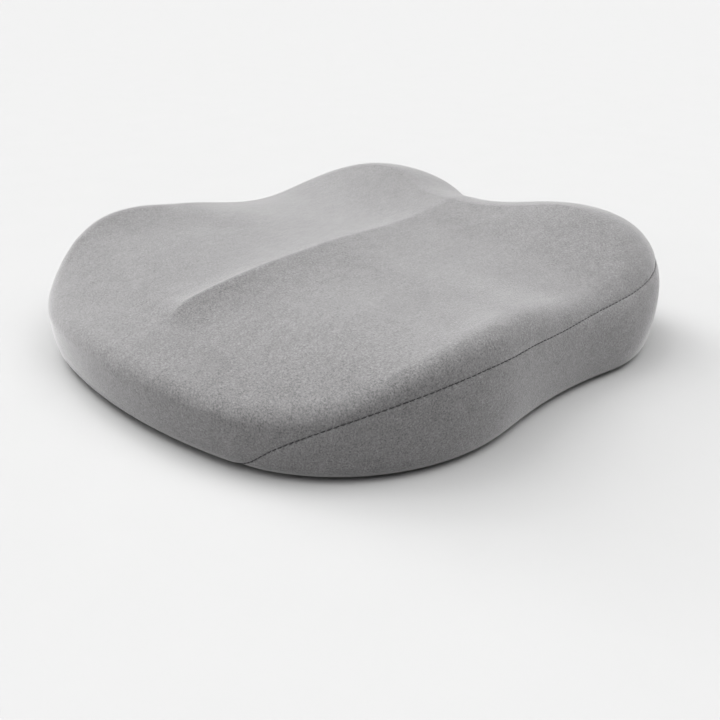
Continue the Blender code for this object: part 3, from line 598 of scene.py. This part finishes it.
def foam():
    look = Look("memory_foam", 0.9, Subsurface_Weight=0.1, Specular_IOR_Level=0.2)
    cells = look.add("ShaderNodeTexVoronoi", Vector=look.place, Scale=900.0)
    pores = look.spread(cells.outputs["Distance"], 0.1, 0.6)
    patches = look.noise(30.0, 3.0)
    tone = look.math("ADD", look.math("MULTIPLY", pores, 0.7), look.math("MULTIPLY", patches, 0.3))
    colour = look.ramp(tone, [(0.1, (0.66, 0.6, 0.48)), (0.8, (0.86, 0.82, 0.72))])
    return look.finish(colour, look.bump(pores, 0.2))


def thread(name, dark, light):
    """Twisted sewing thread."""
    look = Look(name, 0.55, Sheen_Weight=0.15, Sheen_Roughness=0.4, Specular_IOR_Level=0.35)
    twist = look.add("ShaderNodeTexWave", {"bands_direction": "DIAGONAL"}, Vector=look.place, Scale=900.0,
                     Distortion=1.0)
    fuzz = look.noise(0.4, 2.0)
    strands = look.math("MULTIPLY", twist.outputs["Fac"], 0.6)
    tone = look.math("ADD", strands, look.math("MULTIPLY", fuzz, 0.4))
    colour = look.ramp(tone, [(0.2, dark), (0.8, light)])
    return look.finish(colour, look.bump(twist.outputs["Fac"], 0.05))


def moulded(name, dark, light, roughness, **fixed):
    """Moulded plastic, rubber or painted metal: slight mottling, fine scratches and polished patches."""
    look = Look(name, roughness, **fixed)
    patches = look.noise(4.0, 3.0)
    scratches = look.noise(0.5, 2.0, stretch=(8.0, 1.0, 1.0), turn=(0.0, 0.0, 0.4))
    tone = look.math("ADD", look.math("MULTIPLY", patches, 0.7), look.math("MULTIPLY", scratches, 0.3))
    colour = look.ramp(tone, [(0.25, dark), (0.8, light)])
    shine = look.spread(tone, 0.3, 0.7, roughness + 0.08, roughness - 0.08)
    return look.finish(colour, look.bump(scratches, 0.015), shine)


COVER = velour()
BASE = weave("grip_base", (0.075, 0.075, 0.08), (0.15, 0.15, 0.155), 0.7, 0.12, 0.85)
LINER = weave("liner_knit", (0.72, 0.72, 0.7), (0.86, 0.86, 0.84), 0.9, 0.1, 0.9)
TAPE = weave("zip_tape", (0.09, 0.09, 0.095), (0.17, 0.17, 0.175), 0.45, 0.08, 0.8)
FOAM = foam()
SEAM_THREAD = thread("sewing_thread", (0.02, 0.02, 0.021), (0.06, 0.06, 0.062))
COIL = moulded("zip_coil", (0.085, 0.085, 0.09), (0.14, 0.14, 0.145), 0.38)
STOP = moulded("zip_stop", (0.08, 0.08, 0.085), (0.13, 0.13, 0.135), 0.45)
METAL = moulded("slider_metal", (0.13, 0.13, 0.135), (0.2, 0.2, 0.205), 0.34,
                Metallic=0.35, Coat_Weight=0.3, Coat_Roughness=0.25)
SILICONE = moulded("silicone", (0.1, 0.1, 0.105), (0.14, 0.14, 0.145), 0.42)


# ---- cover ---------------------------------------------------------------------------------------
def fine_fractions():
    """Sections around the perimeter, with one at each of the band's points."""
    start = BAND_START / 2
    half = np.concatenate([np.linspace(0, start, COLUMNS_FRONT + 1)[:-1],
                           np.linspace(start, 0.5, COLUMNS_BAND + 1)])
    return np.concatenate([half, 1 - half[1:-1][::-1]])


SKIN = Skin(fine_fractions())
FIRST = COLUMNS_FRONT
LAST = len(SKIN.fractions) - COLUMNS_FRONT


def seam_relief(offset, column_length, strength):
    """How far the fabric lies below the skin at an offset from the side seam, in millimetres."""
    groove = GROOVE_DEPTH * np.exp(-(np.abs(offset) / GROOVE_WIDTH) ** GROOVE_POWER)
    groove = groove + CREASE_DEPTH * np.exp(-np.abs(offset) / CREASE_WIDTH)
    length, drift, sway = PUCKER_WAVE
    gathers = 0.5 + 0.5 * np.sin(column_length / length + sway * np.sin(column_length / drift))
    pucker = PUCKER_DEPTH * gathers * np.exp(-np.abs(offset) / PUCKER_REACH)
    return (groove + pucker) * strength


def base_tuck(length):
    return TUCK_DEPTH * np.exp(-(length / TUCK_WIDTH) ** TUCK_POWER)


def seam_strength():
    """1 along the side seam, fading out at the band's points."""
    station = station_at(SKIN.fractions)
    return ease((station - BAND_START) * PERIMETER / 2 / SEAM_FADE)


def build_cover():
    seam = SKIN.seam
    strength = seam_strength()
    run = SKIN.fractions * PERIMETER
    crest = SKIN.lengths[SKIN.crest_row]
    total = SKIN.lengths[-1]
    upper = [SEAM_HALF_GAP] + list(NEAR_SEAM)
    rows = [seam + offset for offset in upper]
    start = seam + upper[-1]
    rows += [start + (crest - start) * k / EDGE_RINGS for k in range(1, EDGE_RINGS + 1)]
    rows += [crest + (total - crest) * (k / SEAT_RINGS) for k in range(1, SEAT_RINGS)]
    lengths = np.array(rows)
    offsets = lengths - seam
    inward = seam_relief(offsets, run, strength) + base_tuck(lengths) * (1 - strength)
    points = SKIN.rings(lengths, inward)
    shape = points.reshape(-1, 3)
    pole = np.array([[0.0, POLE_Y, float(seat_height(np.array([0.0]), np.array([POLE_Y]))[0])]])
    columns = len(seam)
    faces = grid_faces(len(rows), columns, True)
    last = (len(rows) - 1) * columns
    faces += [(last + j, last + (j + 1) % columns, last + columns) for j in range(columns)]
    top = add_piece("seat_panel", np.vstack([shape, pole]), faces, COVER)
    thicken(top, COVER_THICKNESS)
    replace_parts(top, "cover_top_panel")

    band = slice(FIRST, LAST + 1)
    scale = np.minimum(1.0, seam[band] / BAND_NARROW)
    rows = [seam[band] - offset * scale for offset in upper]
    low = seam[band] - upper[-1] * scale
    rows += [low * share for share in 1 - (np.arange(1, BAND_RINGS + 1) / BAND_RINGS) ** 0.9]
    lengths = np.array(rows)
    inward = seam_relief(seam[band] - lengths, run[band], strength[band]) + base_tuck(lengths)
    points = SKIN_BAND.rings(lengths, inward)
    faces = grid_faces(len(rows), lengths.shape[1], False)
    side = add_piece("side_band", points.reshape(-1, 3), faces, COVER)
    thicken(side, COVER_THICKNESS)
    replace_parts(side, "cover_side_band")
    return top, side


def section_range(skin, columns):
    """The same skin, cut down to some of its sections."""
    part = object.__new__(Skin)
    part.fractions = skin.fractions[columns]
    part.points = skin.points[:, columns]
    part.normals = skin.normals[:, columns]
    part.lengths = skin.lengths[:, columns]
    part.seam = skin.seam[columns]
    return part


SKIN_BAND = section_range(SKIN, slice(FIRST, LAST + 1))


def build_side_stitches():
    skin = section_range(SKIN, slice(FIRST + 2, LAST - 1))
    length = skin.seam[None, :]
    sink = CREASE_DEPTH + through(SEAM_SINK_STATIONS, SEAM_STITCH_SINK, station_at(skin.fractions))[None, :]
    path = skin.rings(length, sink)[0]
    above = skin.rings(length, sink - 1)[0]
    points, faces = stitch_row(path, above - path, *SEAM_STITCH)
    row = add_piece("side_seam_stitches", points, faces, SEAM_THREAD)
    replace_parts(row, "side_seam_thread")


# ---- base ----------------------------------------------------------------------------------------
def channel(x, y):
    """How much of the zip channel's depth there is at a place: 1 on its floor, 0 outside it."""
    along = ease(1 - (np.abs(x) - CHANNEL_FLAT[0]) / CHANNEL_FADE[0])
    across = ease(1 - (np.abs(y - ZIP_Y) - CHANNEL_FLAT[1]) / CHANNEL_FADE[1])
    return along * across


def base_edge(inward):
    """Plan loop of the base seam, moved inwards."""
    return SKIN.points[0][:, :2] - outward_at(SKIN.fractions) * inward


def base_height(x, y):
    return BASE_FABRIC_Z + COVER_CHANNEL * channel(x, y)


def half_edge(side, inward):
    """The base edge on the front (-1) or rear (1) side of the zip line, from its +X end to its -X end."""
    loop = base_edge(inward)
    line = ZIP_Y + side * BASE_SEAM_GAP / 2
    right = loop[:len(loop) // 2 + 1]
    right = right if side > 0 else right[::-1]
    kept = right[(right[:, 1] - line) * side > 0]
    order = np.argsort(right[:, 1])
    end = np.array([np.interp(line, right[order, 1], right[order, 0]), line])
    half = np.vstack([end, kept if kept[-1, 0] < 1e-6 else np.vstack([kept, [[0.0, kept[-1, 1]]]])])
    return np.vstack([half, half[:-1][::-1] * [-1, 1]])


def resample(path, count):
    lengths = np.concatenate([[0.0], np.cumsum(np.linalg.norm(np.diff(path, axis=0), axis=1))])
    wanted = np.linspace(0, lengths[-1], count)
    return np.column_stack([np.interp(wanted, lengths, path[:, k]) for k in range(path.shape[1])])


def build_base_panel(name, side):
    far = resample(half_edge(side, BASE_EDGE_IN), BASE_COLUMNS)
    near = np.linspace(far[0], far[-1], BASE_COLUMNS)
    crowded = 1 - BASE_EDGE_SHARE * (1 - np.linspace(0, 1, BASE_ROWS[1])[1:]) ** 1.6
    shares = np.concatenate([np.linspace(0, 1 - BASE_EDGE_SHARE, BASE_ROWS[0]), crowded])
    plan = near + (far - near) * shares[:, None, None]
    gap = np.linalg.norm(far - plan, axis=2)
    x, y = plan[..., 0], plan[..., 1]
    slot = (np.abs(x) < SLOT[0]) & (np.abs(y - ZIP_Y) < SLOT[1])
    turned_in = SLOT_TURN * np.where(slot, 1 - np.abs(y - ZIP_Y) / SLOT[1], 0.0)
    y = np.where(slot, ZIP_Y + side * SLOT[1], y)
    at_slot = ease((SLOT[0] + 2 - np.abs(x)) / 3)
    fold = SLOT_FOLD[0] * np.exp(-((np.abs(y - ZIP_Y) - SLOT[1]) / SLOT_FOLD[1]) ** 2) * at_slot
    seam = END_FOLD[0] * np.exp(-(np.abs(y - ZIP_Y) / END_FOLD[1]) ** 2) * (1 - at_slot)
    tuck = EDGE_TUCK[0] * np.exp(-(gap / EDGE_TUCK[1]) ** TUCK_POWER)
    points = np.stack([x, y, base_height(x, y) + tuck + fold + seam + turned_in], axis=2)
    return add_piece(name, points.reshape(-1, 3), grid_faces(len(shares), BASE_COLUMNS, False), BASE)


def build_base():
    for name, side in (("front", -1), ("rear", 1)):
        panel = build_base_panel(f"grip_panel_{name}", side)
        if panel.data.polygons[0].normal.z > 0:
            panel.data.flip_normals()
        thicken(panel, BASE_THICKNESS)
        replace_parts(panel, f"cover_base_{name}")
        build_dots(f"grip_dots_{name}", side)
    loop = base_edge(BASE_STITCH_IN)
    loop = np.vstack([loop, loop[:1]])
    path = np.column_stack([loop, np.full(len(loop), BASE_STITCH_Z)])
    down = np.tile([0.0, 0.0, -1.0], (len(path), 1))
    points, faces = stitch_row(path, down, *BASE_STITCH)
    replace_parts(add_piece("base_seam_stitches", points, faces, SEAM_THREAD), "base_seam_thread")


def dot(x, y):
    """Points and faces of one domed dot, its tip just above the floor."""
    sides = DOT_SIDES
    ring = np.arange(sides) * 2 * math.pi / sides
    points = []
    for size, drop in DOT_LEVELS:
        across = DOT_RADIUS * size
        height = BASE_FABRIC_Z + DOT_SINK - drop
        points += [(x + across * math.cos(a), y + across * math.sin(a), height) for a in ring]
    points.append((x, y, DOT_TIP_Z))
    faces = grid_faces(len(DOT_LEVELS), sides, True)
    last = (len(DOT_LEVELS) - 1) * sides
    faces += [(last + k, last + (k + 1) % sides, last + sides) for k in range(sides)]
    faces.append(tuple(range(sides)))
    return np.array(points), faces


def build_dots(name, side):
    """Silicone dots in staggered rows, clear of the base's edge and of the zip's channel."""
    loop = base_edge(DOT_EDGE_MARGIN)
    channel_x, channel_y = (flat + fade + DOT_CLEAR for flat, fade in zip(CHANNEL_FLAT, CHANNEL_FADE))
    parts = []
    for row in DOT_ROWS:
        y = row * DOT_SPACING * math.sqrt(3) / 2
        away = (y - ZIP_Y) * side
        for step in DOT_STEPS:
            x = (step + (row % 2) / 2) * DOT_SPACING
            in_channel = away < channel_y and abs(x) < channel_x
            if away >= DOT_SPACING and not in_channel and inside(loop, x, y):
                parts.append(dot(x, y))
    points, faces = merge(parts)
    add_piece(name, points, faces, SILICONE)


def inside(loop, x, y):
    """Whether a point lies inside a closed loop."""
    after = np.roll(loop, -1, axis=0)
    spans = (loop[:, 1] > y) != (after[:, 1] > y)
    rise = np.where(spans, after[:, 1] - loop[:, 1], 1)
    cross = loop[:, 0] + (y - loop[:, 1]) * (after[:, 0] - loop[:, 0]) / rise
    return np.count_nonzero(spans & (cross > x)) % 2 == 1


# ---- zip -----------------------------------------------------------------------------------------
def build_coils():
    turns = int(2 * CHAIN_END / COIL_PITCH)
    place = np.arange(turns * COIL_STEPS + 1) / COIL_STEPS
    for side, name in ((-1, "front"), (1, "rear")):
        angle = 2 * math.pi * place
        shift = COIL_PITCH / 2 if side > 0 else 0.0
        x = -CHAIN_END + COIL_MARGIN + (2 * (CHAIN_END - COIL_MARGIN) - COIL_PITCH / 2) * place / turns
        x = x + shift + COIL_LEAN * COIL_PITCH * np.sin(2 * angle)
        y = ZIP_Y + side * (COIL_MIDDLE[0] + (COIL_HALF[0] - COIL_WIRE) * np.cos(angle))
        z = COIL_MIDDLE[1] + (COIL_HALF[1] - COIL_WIRE) * np.sin(angle)
        points, faces = tube(np.column_stack([x, y, z]), COIL_WIRE, 7)
        row = add_piece(f"coil_row_{name}", points, faces, COIL)
        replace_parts(row, f"zip_coil_{name}")


def zigzag_bar(side):
    """Bar tack: close zigzag stitches across the zip."""
    x = side * BARTACK_X + np.linspace(-BARTACK_HALF[0], BARTACK_HALF[0], BARTACK_STRANDS)
    share = np.linspace(-1, 1, 9)
    bulge = BARTACK_RISE * (1 - share ** 6)
    parts = []
    for k in range(BARTACK_STRANDS - 1):
        y = ZIP_Y + BARTACK_HALF[1] * share * (1 if k % 2 else -1)
        across = x[k] + (x[k + 1] - x[k]) * (share + 1) / 2
        parts.append(tube(np.column_stack([across, y, BARTACK_Z - bulge]), BARTACK_THREAD, 5))
    return merge(parts)


def softened(node, name, finish, body, width):
    """Copy of a hard CAD piece with its edges rounded."""
    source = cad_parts[node].data
    mesh = source.copy()
    mesh.materials.clear()
    mesh.materials.append(finish)
    work = bmesh.new()
    work.from_mesh(mesh)
    bmesh.ops.remove_doubles(work, verts=work.verts, dist=1e-6)
    bmesh.ops.dissolve_limit(work, angle_limit=math.radians(2), verts=work.verts, edges=work.edges)
    work.to_mesh(mesh)
    work.free()
    mesh.shade_flat()
    made = bpy.data.objects.new(name, mesh)
    bpy.context.scene.collection.objects.link(made)
    bevel = made.modifiers.new("rounding", "BEVEL")
    bevel.width = width * MM
    bevel.segments = 3
    bevel.limit_method = "ANGLE"
    bevel.angle_limit = math.radians(30)
    bevel.harden_normals = True
    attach(made, body)
    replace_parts(made, node)


def end_seam_path(side):
    x = side * np.linspace(END_SEAM_X, base_edge(2.6)[:, 0].max() - 4, 40)
    z = base_height(x, np.full(len(x), ZIP_Y)) + 0.55
    return np.column_stack([x, np.full(len(x), ZIP_Y), z])


def build_zip():
    build_coils()
    for side, name in ((-1, "left"), (1, "right")):
        points, faces = zigzag_bar(side)
        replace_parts(add_piece(f"bar_tack_{name}", points, faces, SEAM_THREAD), f"zip_bartack_{name}")
        path = end_seam_path(side)
        down = np.tile([0.0, 0.0, -1.0], (len(path), 1))
        points, faces = stitch_row(path, down, *END_STITCH)
        stitches = add_piece(f"end_seam_stitches_{name}", points, faces, SEAM_THREAD)
        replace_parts(stitches, f"zip_end_seam_{name}")
    rows = []
    x = np.linspace(-TOP_STITCH_HALF[0], TOP_STITCH_HALF[0], 200)
    for y in (ZIP_Y - TOP_STITCH_HALF[1], ZIP_Y + TOP_STITCH_HALF[1]):
        path = np.column_stack([x, np.full(len(x), y), base_height(x, np.full(len(x), y))])
        down = np.tile([0.0, 0.0, -1.0], (len(path), 1))
        rows.append(stitch_row(path, down, *TOP_STITCH))
    points, faces = merge(rows)
    add_piece("zip_topstitching", points, faces, SEAM_THREAD)
    for node in ("zip_top_stop_front", "zip_top_stop_rear", "zip_bottom_stop"):
        softened(node, node.replace("zip_", "moulded_"), STOP, "cushion", ROUNDING["stop"])
    softened("zip_slider", "slider_body", METAL, "slider", ROUNDING["slider"])
    softened("zip_pull", "pull_tab", METAL, "pull", ROUNDING["pull"])


# ---- stage ---------------------------------------------------------------------------------------
def build_camera():
    a, e = CAMERA_AZIMUTH, CAMERA_ELEVATION
    back = Vector((math.sin(a) * math.cos(e), -math.cos(a) * math.cos(e), math.sin(e)))
    right = Vector((math.cos(a), math.sin(a), 0.0))
    up = back.cross(right)
    target = Vector((0.0, 0.0, CAMERA_TARGET_Z)) + right * CAMERA_SLIDE[0] + up * CAMERA_SLIDE[1]
    camera = bpy.data.objects.new("camera", bpy.data.cameras.new("camera"))
    bpy.context.scene.collection.objects.link(camera)
    turn = Matrix((right, up, back)).transposed().to_4x4()
    camera.matrix_world = Matrix.Translation((target + back * CAMERA_DISTANCE) * MM) @ turn
    camera.data.sensor_width = SENSOR
    camera.data.lens = CAMERA_LENS
    camera.data.clip_start = 0.02
    camera.data.clip_end = 200.0
    bpy.context.scene.camera = camera


def build_floor():
    mesh = bpy.data.meshes.new("floor")
    reach = FLOOR_REACH
    mesh.from_pydata([(-reach, -reach, 0), (reach, -reach, 0), (reach, reach, 0), (-reach, reach, 0)], [],
                     [(0, 1, 2, 3)])
    look = Look("floor", 0.9, Specular_IOR_Level=0.0)
    tone = look.spread(look.noise(60.0, 2.0), 0.3, 0.7, *FLOOR_TONE)
    mesh.materials.append(look.finish(look.grey(tone)))
    floor = bpy.data.objects.new("floor", mesh)
    bpy.context.scene.collection.objects.link(floor)


def sun(name, azimuth, elevation, strength, angle):
    """Distant soft light; azimuth turns from the front towards +X, as the camera's does."""
    a, e = math.radians(azimuth), math.radians(elevation)
    towards = Vector((math.sin(a) * math.cos(e), -math.cos(a) * math.cos(e), math.sin(e)))
    light = bpy.data.lights.new(name, "SUN")
    light.energy = strength
    light.angle = math.radians(angle)
    made = bpy.data.objects.new(name, light)
    made.rotation_euler = towards.to_track_quat("Z", "Y").to_euler()
    bpy.context.scene.collection.objects.link(made)


def build_backdrop():
    """Pale wall all around the studio, from the horizon up to WALL_TOP and gone at WALL_END."""
    world = bpy.data.worlds.new("studio")
    bpy.context.scene.world = world
    world.use_nodes = True
    nodes, links = world.node_tree.nodes, world.node_tree.links
    direction = nodes.new("ShaderNodeSeparateXYZ")
    links.new(nodes.new("ShaderNodeTexCoord").outputs["Generated"], direction.inputs[0])
    fade = nodes.new("ShaderNodeMapRange")
    fade.interpolation_type = "SMOOTHSTEP"
    links.new(direction.outputs["Z"], fade.inputs["Value"])
    fade.inputs["From Min"].default_value = math.sin(math.radians(WALL_TOP))
    fade.inputs["From Max"].default_value = math.sin(math.radians(WALL_END))
    fade.inputs["To Min"].default_value = WALL_GLOW
    fade.inputs["To Max"].default_value = 0.0
    nodes["Background"].inputs["Color"].default_value = (1.0, 1.0, 1.0, 1.0)
    links.new(fade.outputs["Result"], nodes["Background"].inputs["Strength"])


def build_lights():
    for name, azimuth, elevation, strength, angle in LIGHTS:
        sun(name, azimuth, elevation, strength, angle)
    view = bpy.context.scene.view_settings
    view.view_transform = "Standard"
    view.look = "None"


build_camera()
build_floor()
build_backdrop()
build_lights()
top_panel, side_band = build_cover()
build_side_stitches()
build_base()
build_zip()
for node, finish in (("foam_core", FOAM), ("liner_top", LINER), ("liner_base", LINER),
                     ("zip_tape_front", TAPE), ("zip_tape_rear", TAPE)):
    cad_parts[node].data.materials.clear()
    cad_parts[node].data.materials.append(finish)
